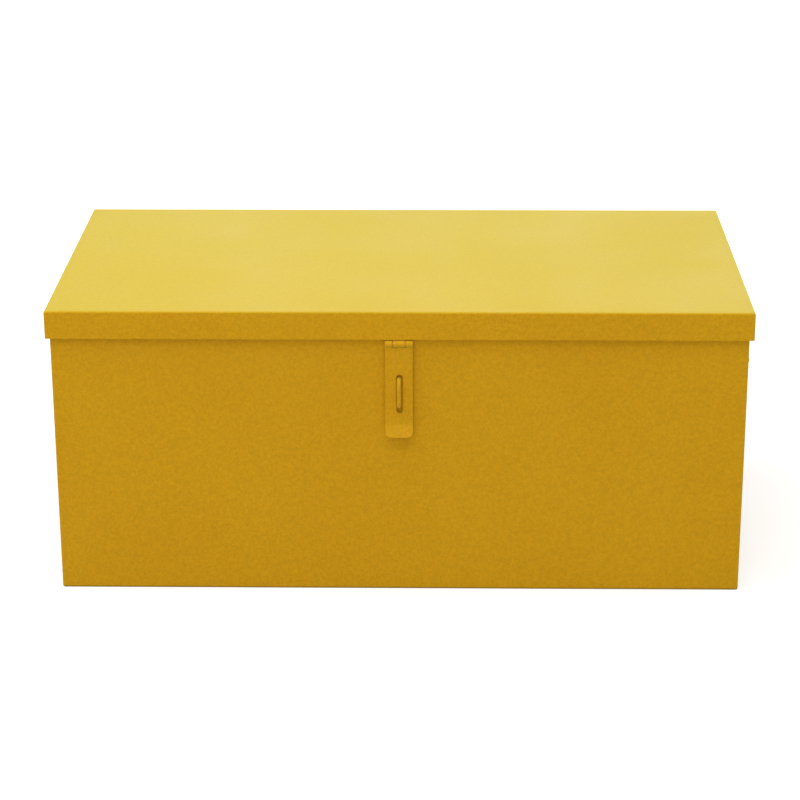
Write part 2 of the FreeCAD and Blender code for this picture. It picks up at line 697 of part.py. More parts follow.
def hinge_leaf(label, plate_y, plate_edge, plate_end, count):
    """One leaf: a plate from the knuckle clearance to its far edge, and count rolled knuckles.

    plate_y is the plate's near face, plate_edge its edge beside the barrel and plate_end the other.
    """
    body = new_body(label)
    plate = new_sketch(body, "XZ_Plane", plate_y)
    rectangle(plate, (f"-{hinge_length} / 2", plate_edge), (f"{hinge_length} / 2", plate_end))
    pad(body, plate, "Sizes.hinge_leaf_thickness")

    span = f"(({count} - 1) * 2 * Sizes.hinge_knuckle)"
    knuckle_length = "(Sizes.hinge_knuckle - Sizes.knuckle_gap)"
    knuckle_start = f"(-{span} / 2 - {knuckle_length} / 2)"
    neck = new_sketch(body, "YZ_Plane", knuckle_start)
    rectangle(neck, (plate_y, hinge_z), (f"{plate_y} + Sizes.hinge_leaf_thickness", plate_edge))
    neck_pad = pad(body, neck, knuckle_length)
    roll = new_sketch(body, "YZ_Plane", knuckle_start)
    circle(roll, (hinge_y, hinge_z), hinge_radius)
    roll_pad = pad(body, roll, knuckle_length)
    knuckle_row(body, [neck_pad, roll_pad], count, span)
    bore = new_sketch(body, "YZ_Plane")
    circle(bore, (hinge_y, hinge_z), hinge_bore)
    cut(body, bore, f"2 * {hinge_length}")


def hinge():
    hinge_leaf(
        "hinge_body_leaf",
        half_depth,
        f"({hinge_z} - {hinge_radius} - Sizes.swing_gap)",
        f"({hinge_z} - Sizes.hinge_body_leaf_height)",
        f"({knuckle_pairs} + 1)",
    )
    hinge_leaf(
        "hinge_lid_leaf",
        f"({lip_inner_y} - Sizes.hinge_leaf_thickness)",
        f"({hinge_z} + {hinge_radius} + Sizes.swing_gap)",
        f"({hinge_z} + Sizes.hinge_lid_leaf_height)",
        knuckle_pairs,
    )
    hinge_pin("hinge_pin", hinge_length, "Sizes.hinge_pin_diameter", ("0", hinge_y, hinge_z))


# ---------------------------------------------------------------------------------------------
# Hasp: a fixed leaf behind the front lip, a pin, and the slotted strap
# ---------------------------------------------------------------------------------------------


def hasp_hinge_leaf():
    """Leaf welded up behind the front lip, with the centre knuckle below the lip's edge."""
    body = new_body("hasp_hinge_leaf")
    leaf_y = f"-{lip_inner_y}"
    leaf_low = f"({hasp_z} + Sizes.hasp_knuckle_radius + Sizes.swing_gap)"
    plate = new_sketch(body, "XZ_Plane", leaf_y)
    rectangle(
        plate,
        ("-Sizes.hasp_width / 2", leaf_low),
        ("Sizes.hasp_width / 2", f"{lip_bottom} + Sizes.hasp_leaf_height"),
    )
    pad(body, plate, "Sizes.hinge_leaf_thickness")
    neck = new_sketch(body, "YZ_Plane")
    rectangle(neck, (leaf_y, hasp_z), (f"{leaf_y} + Sizes.hinge_leaf_thickness", leaf_low))
    pad(body, neck, "Sizes.hasp_centre_knuckle", both_ways=True)
    roll = new_sketch(body, "YZ_Plane")
    circle(roll, (hasp_y, hasp_z), "Sizes.hasp_knuckle_radius")
    pad(body, roll, "Sizes.hasp_centre_knuckle", both_ways=True)
    bore = new_sketch(body, "YZ_Plane")
    circle(bore, (hasp_y, hasp_z), hasp_bore)
    cut(body, bore)


def hasp_strap():
    """Slotted strap with two knuckles at its top and a finger tab bent out at its end."""
    body = new_body("hasp_strap")
    fold_z = f"({slot_low_end} - Sizes.strap_below_slot)"
    tab_out = "(Sizes.tab_length * sin(Sizes.tab_angle * 1 deg))"
    tab_down = "(Sizes.tab_length * cos(Sizes.tab_angle * 1 deg))"
    skin_out = "(Sizes.hasp_thickness * cos(Sizes.tab_angle * 1 deg))"
    skin_down = "(Sizes.hasp_thickness * sin(Sizes.tab_angle * 1 deg))"
    fold_shift = "(Sizes.hasp_thickness * tan(Sizes.tab_angle / 2 * 1 deg))"
    side_view = new_sketch(body, "YZ_Plane")
    polygon(
        side_view,
        [
            (strap_back_y, hasp_z),
            (strap_back_y, fold_z),
            (f"{strap_back_y} - {tab_out}", f"{fold_z} - {tab_down}"),
            (
                f"{strap_back_y} - {tab_out} - {skin_out}",
                f"{fold_z} - {tab_down} + {skin_down}",
            ),
            (strap_front_y, f"{fold_z} + {fold_shift}"),
            (strap_front_y, hasp_z),
        ],
    )
    pad(body, side_view, "Sizes.hasp_width", both_ways=True)

    def fold_inside(middle, direction, length):
        return near(middle.y, strap_front_y) and near(middle.z, f"{fold_z} + {fold_shift}")

    def fold_outside(middle, direction, length):
        return near(middle.y, strap_back_y) and near(middle.z, fold_z)

    round_edges(body, "Sizes.tab_bend", fold_inside)
    round_edges(body, "Sizes.tab_bend + Sizes.hasp_thickness", fold_outside)
    roll = new_sketch(body, "YZ_Plane")
    circle(roll, (hasp_y, hasp_z), "Sizes.hasp_knuckle_radius")
    pad(body, roll, "Sizes.hasp_width", both_ways=True)

    notch = new_sketch(body, "YZ_Plane")
    circle(notch, (hasp_y, hasp_z), "Sizes.hasp_knuckle_radius + Sizes.hasp_notch_gap")
    cut(body, notch, "Sizes.hasp_centre_knuckle + 2 * Sizes.hasp_knuckle_gap")
    bore = new_sketch(body, "YZ_Plane")
    circle(bore, (hasp_y, hasp_z), hasp_bore)
    cut(body, bore)

    slot = new_sketch(body, "XZ_Plane", strap_back_y)
    radius = f"({slot_width} / 2)"
    upright_slot(
        slot,
        ("Sizes.slot_offset", f"{slot_high_end} - {radius}"),
        ("Sizes.slot_offset", f"{slot_low_end} + {radius}"),
        radius,
    )
    cut(body, slot, "4 * Sizes.hasp_thickness")

    def tab_corner(middle, direction, length):
        across = near(length, "Sizes.hasp_thickness") and near(abs(middle.x), "Sizes.hasp_width / 2")
        return across and middle.z < size(fold_z) - ROUNDING

    round_edges(body, "Sizes.hasp_corner", tab_corner)


# ---------------------------------------------------------------------------------------------
# End handles: a riveted plate with lugs and stop tabs, a bail and its sleeve
# ---------------------------------------------------------------------------------------------
# Each is drawn with x out from the end wall and its pivot at height 0, then set on its wall.


def set_on_wall(body, left):
    side = "-" if left else ""
    set_place(body, (f"{side}{half_width}", "0", handle_z), half_turn=left)


def handle_plate(label, left):
    """Plate with two lugs for the bail and two tabs that stop it level."""
    body = new_body(label)
    outline = new_sketch(body, "YZ_Plane")
    half = "Sizes.handle_plate_length / 2"
    rectangle(outline, (f"-{half}", "-Sizes.handle_plate_below"), (half, "Sizes.handle_plate_above"))
    pad(body, outline, "Sizes.handle_plate_thickness")

    def plate_corner(middle, direction, length):
        return abs(direction.x) > PARALLEL

    round_edges(body, "Sizes.handle_plate_corner", plate_corner)

    lug_radius = "(Sizes.bail_rod / 2 + Sizes.bail_play + Sizes.ear_margin)"
    for side in ("", "-"):
        start = ear_inner if side == "" else f"-{ear_inner} - Sizes.ear_thickness"
        root = new_sketch(body, "XZ_Plane", start)
        rectangle(root, ("0", f"-{lug_radius}"), (pivot_out, lug_radius))
        pad(body, root, "Sizes.ear_thickness")
        end = new_sketch(body, "XZ_Plane", start)
        circle(end, (pivot_out, "0"), lug_radius)
        pad(body, end, "Sizes.ear_thickness")
        stop_middle = f"{side}{bail_leg}"
        stop = new_sketch(body, "XY_Plane", "Sizes.bail_rod / 2 + Sizes.stop_gap")
        rectangle(
            stop,
            ("0", f"{stop_middle} - Sizes.stop_width / 2"),
            (f"{pivot_out} + Sizes.stop_reach", f"{stop_middle} + Sizes.stop_width / 2"),
        )
        pad(body, stop, "Sizes.handle_plate_thickness")

    bore = new_sketch(body, "XZ_Plane")
    circle(bore, (pivot_out, "0"), "Sizes.bail_rod / 2 + Sizes.bail_play")
    cut(body, bore)
    holes = new_sketch(body, "YZ_Plane")
    for place in rivet_places():
        circle(holes, place, "Sizes.rivet_shank / 2 + Sizes.rivet_play")
    cut(body, holes, "4 * Sizes.handle_plate_thickness")
    set_on_wall(body, left)


def rivet_places():
    return [
        (f"{side}{rivet_out_y}", height) for side in ("", "-") for height in (rivet_high, rivet_low)
    ]


def handle_rivets(label, left):
    """Four rivets through the handle plate and the end wall, each a solid of its own."""
    body = new_body(label)
    stages = [
        ("-Sizes.sheet - Sizes.rivet_tail_height", "Sizes.rivet_tail_height", "Sizes.rivet_tail"),
        ("-Sizes.sheet", f"Sizes.sheet + {plate_face}", "Sizes.rivet_shank"),
        (plate_face, "Sizes.rivet_head_height", "Sizes.rivet_head"),
    ]
    for start, length, diameter in stages:
        section = new_sketch(body, "YZ_Plane", start)
        for place in rivet_places():
            circle(section, place, f"{diameter} / 2")
        pad(body, section, length)

    def head_rim(point, length):
        return near(point.x, f"{plate_face} + Sizes.rivet_head_height")

    def tail_rim(point, length):
        return near(point.x, "-Sizes.sheet - Sizes.rivet_tail_height")

    round_rims(body, "Sizes.rivet_head_rounding", head_rim)
    round_rims(body, "Sizes.rivet_tail_rounding", tail_rim)
    set_on_wall(body, left)


def bail(label, left):
    """Handle rod: a U with its two ends turned out into the lugs."""
    body = new_body(label)
    end = f"({ear_inner} + Sizes.ear_thickness + Sizes.bail_tail)"
    section = new_sketch(body, "XZ_Plane", f"-{end}")
    circle(section, (pivot_out, "0"), "Sizes.bail_rod / 2")
    path = new_sketch(body, "YZ_Plane", pivot_out)
    bent_line(
        path,
        [
            (f"-{end}", "0"),
            (f"-{bail_leg}", "0"),
            (f"-{bail_leg}", "-Sizes.bail_drop"),
            (bail_leg, "-Sizes.bail_drop"),
            (bail_leg, "0"),
            (end, "0"),
        ],
        "Sizes.bail_bend",
    )
    pipe_along(body, section, path)
    set_on_wall(body, left)


def grip(label, left):
    """Vinyl sleeve on the bail's crossbar."""
    body = new_body(label)
    section = new_sketch(body, "XZ_Plane", "-Sizes.grip_length / 2")
    circle(section, (pivot_out, "-Sizes.bail_drop"), "Sizes.grip_diameter / 2")
    circle(section, (pivot_out, "-Sizes.bail_drop"), "Sizes.bail_rod / 2")
    pad(body, section, "Sizes.grip_length")

    def outer_rim(point, length):
        return near(length, "pi * Sizes.grip_diameter")

    round_rims(body, "Sizes.grip_rounding", outer_rim)
    set_on_wall(body, left)


# ---------------------------------------------------------------------------------------------
# Lid stay: a slotted arm on a lid bracket, sliding over a stud on the right-hand end wall
# ---------------------------------------------------------------------------------------------
# The pivot and the stud are equally far from the hinge axis, so the arm turns by half the lid's angle.


def stay_bracket():
    """Angle welded under the lid, with the hole for the stay's rivet."""
    body = new_body("stay_bracket")
    tab_radius = "(Sizes.stay_width / 2)"
    tab_low = f"({stay_pivot_z} - {tab_radius})"
    half = "(Sizes.stay_bracket_length / 2)"
    tab = new_sketch(body, "YZ_Plane", stay_bracket_face)
    polygon(
        tab,
        [
            (f"{stay_y} - {half}", lid_underside),
            (f"{stay_y} - {half}", stay_foot_low),
            (f"{stay_y} - {tab_radius}", tab_low),
            (f"{stay_y} + {tab_radius}", tab_low),
            (f"{stay_y} + {half}", stay_foot_low),
            (f"{stay_y} + {half}", lid_underside),
        ],
    )
    pad(body, tab, "Sizes.stay_bracket_thickness")
    foot = new_sketch(body, "XY_Plane", stay_foot_low)
    rectangle(
        foot,
        (f"{stay_bracket_face} - Sizes.stay_bracket_foot", f"{stay_y} - {half}"),
        (stay_bracket_face, f"{stay_y} + {half}"),
    )
    pad(body, foot, "Sizes.stay_bracket_thickness")
    hole = new_sketch(body, "YZ_Plane", stay_bracket_face)
    circle(hole, (stay_y, stay_pivot_z), "Sizes.stay_pivot_diameter / 2 + Sizes.rivet_play")
    cut(body, hole, "4 * Sizes.stay_bracket_thickness")

    def tab_end(middle, direction, length):
        return abs(direction.x) > PARALLEL and near(middle.z, tab_low)

    round_edges(body, "Sizes.stay_bracket_corner", tab_end)


def stay_arm():
    """Slotted arm, hanging beside the end wall when the lid is shut."""
    body = new_body("stay_arm")
    radius = "(Sizes.stay_width / 2)"
    slot_radius = "(Sizes.stay_stud_diameter / 2 + Sizes.stay_slot_play)"
    slot_high = (stay_y, stay_stud_z)
    slot_low = (stay_y, f"({stay_pivot_z} - {stay_reach_open})")
    outline = new_sketch(body, "YZ_Plane", stay_inner_x)
    upright_slot(outline, (stay_y, stay_pivot_z), slot_low, radius)
    pad(body, outline, "Sizes.stay_thickness")
    openings = new_sketch(body, "YZ_Plane", stay_inner_x)
    circle(
        openings, (stay_y, stay_pivot_z), "Sizes.stay_pivot_diameter / 2 + Sizes.stay_pivot_play"
    )
    upright_slot(openings, slot_high, slot_low, slot_radius)
    cut(body, openings, "4 * Sizes.stay_thickness")


def stay_pivot_rivet():
    """Rivet through the bracket, with the arm free between the bracket and its head."""
    radius = "(Sizes.stay_pivot_diameter / 2)"
    shank_end = f"({stay_inner_x} - Sizes.stay_layer_gap)"
    head_end = f"({shank_end} - Sizes.peened_head_height)"
    far_face = f"({stay_bracket_face} + Sizes.stay_bracket_thickness)"
    tail_end = f"({far_face} + Sizes.stay_side_gap / 2)"
    turned(
        "stay_pivot_rivet",
        [
            (head_end, "0"),
            (tail_end, "0"),
            (tail_end, "Sizes.stay_pivot_tail / 2"),
            (far_face, "Sizes.stay_pivot_tail / 2"),
            (far_face, radius),
            (shank_end, radius),
            (shank_end, "Sizes.stay_pivot_head / 2"),
            (head_end, "Sizes.stay_pivot_head / 2 - Sizes.peened_taper"),
        ],
        ("0", stay_y, stay_pivot_z),
    )


def stay_stud():
    """Shouldered stud welded to the end wall, its end peened over the washer."""
    shank = "(Sizes.stud_shank / 2)"
    neck = "(Sizes.stay_stud_diameter / 2)"
    base_end = f"({inner_half_width} - Sizes.stud_base_thickness)"
    shoulder = f"({stay_outer_x} + Sizes.stay_layer_gap)"
    washer_inner = f"({stay_inner_x} - Sizes.stay_layer_gap - Sizes.washer_thickness)"
    end = f"({washer_inner} - Sizes.peened_head_height)"
    turned(
        "stay_stud",
        [
            (end, "0"),
            (inner_half_width, "0"),
            (inner_half_width, "Sizes.stud_base / 2"),
            (base_end, "Sizes.stud_base / 2"),
            (base_end, shank),
            (shoulder, shank),
            (shoulder, neck),
            (washer_inner, neck),
            (washer_inner, "Sizes.stud_head / 2"),
            (end, "Sizes.stud_head / 2 - Sizes.peened_taper"),
        ],
        ("0", stay_y, stay_stud_z),
    )
    washer_outer = f"({stay_inner_x} - Sizes.stay_layer_gap)"
    hole = f"({neck} + Sizes.rivet_play)"
    turned(
        "stay_washer",
        [
            (washer_inner, hole),
            (washer_outer, hole),
            (washer_outer, "Sizes.washer_diameter / 2"),
            (washer_inner, "Sizes.washer_diameter / 2"),
        ],
        ("0", stay_y, stay_stud_z),
    )


# ---------------------------------------------------------------------------------------------
# Make every sub-part, test it and write it
# ---------------------------------------------------------------------------------------------

body_shell()
staple()
staple_backing_plate()
lid_pan()
lid_stiffener()
hinge()
hasp_hinge_leaf()
hasp_strap()
hinge_pin("hasp_pin", "Sizes.hasp_width", "Sizes.hasp_pin_diameter", ("0", hasp_y, hasp_z))
for side in ("left", "right"):
    on_left = side == "left"
    end_panel(f"end_panel_{side}", on_left)
    handle_plate(f"handle_plate_{side}", on_left)
    handle_rivets(f"handle_rivets_{side}", on_left)
    bail(f"handle_bail_{side}", on_left)
    grip(f"handle_grip_{side}", on_left)
stay_bracket()
stay_arm()
stay_pivot_rivet()
stay_stud()
doc.recompute()

for item in doc.Objects:
    if "Invalid" in item.State or "Error" in item.State:
        raise RuntimeError(f"{item.Label} failed: {item.State}")

pieces = [item for item in doc.Objects if item.TypeId == "PartDesign::Body"]
for piece in pieces:
    if piece.Shape.isNull() or not piece.Shape.isValid() or not piece.Shape.Solids:
        raise RuntimeError(f"{piece.Label} has no valid shape")

os.makedirs("parts", exist_ok=True)
for piece in pieces:
    piece.Shape.exportStep(f"parts/{piece.Label}.step")
print(f"{len(pieces)} sub-parts written")
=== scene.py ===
"""Looks of the jobsite storage box: a powder-coated sheet-steel chest, shut, seen from the front.

Lengths on the chest are in millimetres, and MM turns them into the scene's metres. The camera, the
paper and the lights are in metres.
"""

import math

import bpy
from mathutils import Matrix, Vector


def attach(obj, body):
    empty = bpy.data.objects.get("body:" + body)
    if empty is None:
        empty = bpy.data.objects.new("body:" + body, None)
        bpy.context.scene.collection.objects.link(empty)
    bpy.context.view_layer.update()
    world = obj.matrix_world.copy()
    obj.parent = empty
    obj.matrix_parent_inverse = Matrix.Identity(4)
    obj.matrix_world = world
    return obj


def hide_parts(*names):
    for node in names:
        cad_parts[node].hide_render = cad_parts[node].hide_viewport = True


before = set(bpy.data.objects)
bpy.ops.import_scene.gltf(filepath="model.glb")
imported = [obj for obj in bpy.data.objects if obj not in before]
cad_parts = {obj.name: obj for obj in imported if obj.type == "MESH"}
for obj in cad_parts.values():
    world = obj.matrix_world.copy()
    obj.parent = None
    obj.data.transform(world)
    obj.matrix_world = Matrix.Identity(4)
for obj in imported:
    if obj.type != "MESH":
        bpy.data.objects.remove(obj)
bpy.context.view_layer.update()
MM = 0.001

# --- Camera --------------------------------------------------------------------------------------
# A long lens a little above the box and slightly to its right, looking down at the front wall.

camera_data = bpy.data.cameras.new("camera")
camera_data.sensor_fit = "HORIZONTAL"
camera_data.sensor_width = 36.0
camera_data.lens = 110.233
camera_data.clip_end = 50.0
camera = bpy.data.objects.new("camera", camera_data)
bpy.context.scene.collection.objects.link(camera)
camera.matrix_world = (
    Matrix.Translation((0.045250, -2.692068, 1.137728))
    @ Matrix.Rotation(math.radians(1.0169), 4, "Z")
    @ Matrix.Rotation(math.radians(90 - 20.1199), 4, "X")
    @ Matrix.Rotation(math.radians(-0.1527), 4, "Z")
)
bpy.context.scene.camera = camera
bpy.context.scene.view_settings.view_transform = "Standard"

# --- Paper floor and backdrop --------------------------------------------------------------------
# A roll of white paper under the box. It stays pure white to the eye away from the box, and keeps
# the soft shadow close to it.

PAPER = (0.56, 0.56, 0.56, 1)
PAPER_GLOW_NEAR = 0.62
PAPER_GLOW_FAR = 1.0
GLOW_RISES_FROM = 0.5
GLOW_RISES_TO = 1.3
GLOW_IN_MIRRORS = 0.5
PAPER_WIDTH = 16


def add_node(tree, kind, values=None, **settings):
    """A shader node with its settings and the values of its named sockets."""
    made = tree.nodes.new(kind)
    for name, value in settings.items():
        setattr(made, name, value)
    for name, value in (values or {}).items():
        made.inputs[name].default_value = value
    return made


def seen_directly_or_mirrored(tree, in_mirrors):
    """1 where the eye sees the surface, in_mirrors where a reflection or a clear pane does."""
    ray = add_node(tree, "ShaderNodeLightPath")
    mirrored = add_node(tree, "ShaderNodeMath", operation="MAXIMUM")
    dimmed = add_node(tree, "ShaderNodeMath", {1: in_mirrors}, operation="MULTIPLY")
    either = add_node(tree, "ShaderNodeMath", operation="MAXIMUM")
    tree.links.new(ray.outputs["Is Glossy Ray"], mirrored.inputs[0])
    tree.links.new(ray.outputs["Is Transmission Ray"], mirrored.inputs[1])
    tree.links.new(mirrored.outputs[0], dimmed.inputs[0])
    tree.links.new(ray.outputs["Is Camera Ray"], either.inputs[0])
    tree.links.new(dimmed.outputs[0], either.inputs[1])
    return either.outputs[0]


paper = bpy.data.materials.new("white_paper")
paper.use_nodes = True
tree = paper.node_tree
tree.nodes.clear()
output = add_node(tree, "ShaderNodeOutputMaterial")
matt = add_node(tree, "ShaderNodeBsdfDiffuse", {"Color": PAPER})
glow = add_node(tree, "ShaderNodeEmission")
both = add_node(tree, "ShaderNodeAddShader")
place = add_node(tree, "ShaderNodeTexCoord")
distance = add_node(tree, "ShaderNodeVectorMath", operation="LENGTH")
fade = add_node(
    tree,
    "ShaderNodeMapRange",
    {
        "From Min": GLOW_RISES_FROM,
        "From Max": GLOW_RISES_TO,
        "To Min": PAPER_GLOW_NEAR,
        "To Max": PAPER_GLOW_FAR,
    },
)
strength = add_node(tree, "ShaderNodeMath", operation="MULTIPLY")
tree.links.new(place.outputs["Object"], distance.inputs[0])
tree.links.new(distance.outputs["Value"], fade.inputs["Value"])
tree.links.new(fade.outputs["Result"], strength.inputs[0])
tree.links.new(seen_directly_or_mirrored(tree, GLOW_IN_MIRRORS), strength.inputs[1])
tree.links.new(strength.outputs[0], glow.inputs["Strength"])
tree.links.new(matt.outputs[0], both.inputs[0])
tree.links.new(glow.outputs[0], both.inputs[1])
tree.links.new(both.outputs[0], output.inputs["Surface"])

bpy.ops.object.select_all(action="DESELECT")
bpy.ops.mesh.primitive_plane_add(size=PAPER_WIDTH, location=(0, 0, 0))
floor = bpy.context.active_object
floor.name = "floor"
floor.data.materials.append(paper)

# --- Studio light --------------------------------------------------------------------------------
# White walls all round, one very large soft box above and in front of the chest, a little to its
# left, a fill beside the camera and three more round the other sides, no brighter than the walls.

ROOM_LEVEL = 0.35
ROOM_AS_SEEN = 1.0
ROOM_IN_MIRRORS = 1.0

world = bpy.data.worlds.new("studio")
bpy.context.scene.world = world
world.use_nodes = True
tree = world.node_tree
tree.nodes.clear()
output = add_node(tree, "ShaderNodeOutputWorld")
walls = add_node(tree, "ShaderNodeBackground", {"Color": (1, 1, 1, 1)})
level = add_node(tree, "ShaderNodeMapRange", {"To Min": ROOM_LEVEL, "To Max": ROOM_AS_SEEN})
tree.links.new(seen_directly_or_mirrored(tree, ROOM_IN_MIRRORS), level.inputs["Value"])
tree.links.new(level.outputs["Result"], walls.inputs["Strength"])
tree.links.new(walls.outputs[0], output.inputs["Surface"])


def soft_box(name, place, aim, width, watts, colour):
    """A square soft box at its place, turned to face the aim."""
    data = bpy.data.lights.new(name, "AREA")
    data.shape = "SQUARE"
    data.size = width
    data.energy = watts
    data.color = colour
    lamp = bpy.data.objects.new(name, data)
    bpy.context.scene.collection.objects.link(lamp)
    lamp.location = place
    lamp.rotation_euler = (Vector(aim) - Vector(place)).to_track_quat("-Z", "Y").to_euler()


soft_box("overhead", (-0.45, -0.6, 2.6), (0, -0.1, 0.2), 3.0, 54, (1, 1, 1))
soft_box("front_fill", (-0.2, -3.2, 1.4), (0, -0.2, 0.15), 1.6, 17, (1, 0.98, 0.95))
soft_box("left_fill", (-3.2, 0.3, 1.2), (-0.3, 0, 0.15), 2.1, 14, (1, 1, 1))
soft_box("right_fill", (3.2, 0.3, 1.2), (0.3, 0, 0.15), 2.1, 14, (1, 1, 1))
soft_box("back_fill", (0.3, 3.2, 1.2), (0, 0.2, 0.15), 2.4, 18, (1, 1, 1))

# --- Chest: wrapped shell and two end panels -----------------------------------------------------
# One sheet folded into front wall, floor and back wall, closed by two welded end panels. All the
# welded sheet work is sprayed yellow and baked: a satin powder coat with a fine orange peel, which
# looks paler at a low angle.

YELLOW = (0.70, 0.344, 0.002, 1)
YELLOW_THIN = (0.72, 0.367, 0.003, 1)
FILM_PATCHES_PER_METRE = 5.0
COAT_GLOSS = 0.11
COAT_ROUGHNESS = (0.40, 0.50)
ROUGHNESS_PATCHES_PER_METRE = 7.0
# Painted highlight: the paler yellow painted on the lid's top for the light it catches from above.
LID_TOP_PAINTED_LIGHT = (0.672, 0.392, 0.003, 1)
LID_TOP = 323.5
LEVEL_FROM = 0.2
LEVEL_FULLY = 0.6
GRAINS_PER_METRE = 420.0
GRAIN_DARK = 0.90
GRAIN_LIGHT = 1.10
GRAIN_LEFT_ON_TOP = 0.55
PEEL_PER_METRE = 380.0
PEEL_STRENGTH = 0.5
PEEL_DEPTH = 0.25
LOW_ANGLE_SHEEN = (0.80, 1.0, 0.18, 1)
SHEEN_WEIGHT = 0.7
SHEEN_ROUGHNESS = 0.5
# Painted shade: the darker yellow painted on the bottom folds where they turn down to the floor.
GROUND_SHADE_YELLOW = (0.30, 0.150, 0.004, 1)
GROUND_CONTACT = 0.8
GROUND_SHADE_ENDS = 3.0
UNSHADED_WHEN_FACING_UP = 0.5
NOISE_DETAIL = 2.0
NOISE_ROUGHNESS = 0.55
NOISE_LOW = 0.3
NOISE_HIGH = 0.7


def mottling_group():
    """Slow or fine patches of a finish: a noise in the object's own space, between two values."""
    group = bpy.data.node_groups.new("mottling", "ShaderNodeTree")
    for kind, label, value in (
        ("NodeSocketVector", "Place", (0, 0, 0)),
        ("NodeSocketFloat", "Patches per metre", 10.0),
        ("NodeSocketFloat", "Least", 0.0),
        ("NodeSocketFloat", "Most", 1.0),
    ):
        socket = group.interface.new_socket(label, in_out="INPUT", socket_type=kind)
        socket.default_value = value
    group.interface.new_socket("Value", in_out="OUTPUT", socket_type="NodeSocketFloat")
    given = add_node(group, "NodeGroupInput")
    made = add_node(group, "NodeGroupOutput")
    noise = add_node(
        group, "ShaderNodeTexNoise", {"Detail": NOISE_DETAIL, "Roughness": NOISE_ROUGHNESS}
    )
    spread = add_node(group, "ShaderNodeMapRange", {"From Min": NOISE_LOW, "From Max": NOISE_HIGH})
    group.links.new(given.outputs["Place"], noise.inputs["Vector"])
    group.links.new(given.outputs["Patches per metre"], noise.inputs["Scale"])
    group.links.new(noise.outputs["Fac"], spread.inputs["Value"])
    group.links.new(given.outputs["Least"], spread.inputs["To Min"])
    group.links.new(given.outputs["Most"], spread.inputs["To Max"])
    group.links.new(spread.outputs["Result"], made.inputs["Value"])
    return group


mottling = mottling_group()


def mottled(tree, place, per_metre, least, most):
    """The mottling group in a material, with that finish's own values."""
    patches = add_node(tree, "ShaderNodeGroup", node_tree=mottling)
    patches.inputs["Patches per metre"].default_value = per_metre
    patches.inputs["Least"].default_value = least
    patches.inputs["Most"].default_value = most
    tree.links.new(place, patches.inputs["Place"])
    return patches.outputs["Value"]


powder_coat = bpy.data.materials.new("yellow_powder_coat")
powder_coat.use_nodes = True
tree = powder_coat.node_tree
coat = tree.nodes["Principled BSDF"]
coat.inputs["Specular IOR Level"].default_value = COAT_GLOSS
coat.inputs["Sheen Weight"].default_value = SHEEN_WEIGHT
coat.inputs["Sheen Roughness"].default_value = SHEEN_ROUGHNESS
coat.inputs["Sheen Tint"].default_value = LOW_ANGLE_SHEEN
place = add_node(tree, "ShaderNodeTexCoord")
here = place.outputs["Object"]
thickness = add_node(tree, "ShaderNodeMix", {"A": YELLOW, "B": YELLOW_THIN}, data_type="RGBA")
tree.links.new(
    mottled(tree, here, FILM_PATCHES_PER_METRE, 0.0, 1.0), thickness.inputs["Factor"]
)
# Painted light: the top of the lid, as far as its folded edges, is mixed towards a paler, greener
# yellow that stands in for the bright light and reflection it catches from above.
height = add_node(tree, "ShaderNodeSeparateXYZ")
above = add_node(tree, "ShaderNodeMath", {1: LID_TOP * MM}, operation="GREATER_THAN")
facing = add_node(tree, "ShaderNodeSeparateXYZ")
upward = add_node(tree, "ShaderNodeMapRange", {"From Min": LEVEL_FROM, "From Max": LEVEL_FULLY})
on_top = add_node(tree, "ShaderNodeMath", operation="MULTIPLY")
painted_top_light = add_node(tree, "ShaderNodeMix", {"B": LID_TOP_PAINTED_LIGHT}, data_type="RGBA")
tree.links.new(here, height.inputs[0])
tree.links.new(height.outputs["Z"], above.inputs[0])
tree.links.new(place.outputs["Normal"], facing.inputs[0])
tree.links.new(facing.outputs["Z"], upward.inputs["Value"])
tree.links.new(above.outputs[0], on_top.inputs[0])
tree.links.new(upward.outputs["Result"], on_top.inputs[1])
tree.links.new(on_top.outputs[0], painted_top_light.inputs["Factor"])
tree.links.new(thickness.outputs["Result"], painted_top_light.inputs["A"])
# Fine light and dark grains of powder that have run together.
grains = add_node(tree, "ShaderNodeMix", data_type="RGBA", blend_type="MULTIPLY")
shade = add_node(tree, "ShaderNodeCombineColor")
grain = mottled(tree, here, GRAINS_PER_METRE, GRAIN_DARK, GRAIN_LIGHT)
for channel in ("Red", "Green", "Blue"):
    tree.links.new(grain, shade.inputs[channel])
calmer = add_node(tree, "ShaderNodeMapRange", {"To Min": 1.0, "To Max": GRAIN_LEFT_ON_TOP})
tree.links.new(on_top.outputs[0], calmer.inputs["Value"])
tree.links.new(calmer.outputs["Result"], grains.inputs["Factor"])
tree.links.new(painted_top_light.outputs["Result"], grains.inputs["A"])
tree.links.new(shade.outputs["Color"], grains.inputs["B"])
# Painted shade: faces within 3 mm of the ground that don't face up are darkened towards a dark
# yellow, for the shade where the bottom folds turn down to the floor.
near_ground = add_node(
    tree,
    "ShaderNodeMapRange",
    {"From Min": GROUND_CONTACT * MM, "From Max": GROUND_SHADE_ENDS * MM, "To Min": 1.0, "To Max": 0.0},
)
not_up = add_node(tree, "ShaderNodeMath", {1: UNSHADED_WHEN_FACING_UP}, operation="LESS_THAN")
ground_shade_mask = add_node(tree, "ShaderNodeMath", operation="MULTIPLY")
ground_shaded = add_node(tree, "ShaderNodeMix", {"B": GROUND_SHADE_YELLOW}, data_type="RGBA")
tree.links.new(height.outputs["Z"], near_ground.inputs["Value"])
tree.links.new(facing.outputs["Z"], not_up.inputs[0])
tree.links.new(near_ground.outputs["Result"], ground_shade_mask.inputs[0])
tree.links.new(not_up.outputs[0], ground_shade_mask.inputs[1])
tree.links.new(ground_shade_mask.outputs[0], ground_shaded.inputs["Factor"])
tree.links.new(grains.outputs["Result"], ground_shaded.inputs["A"])
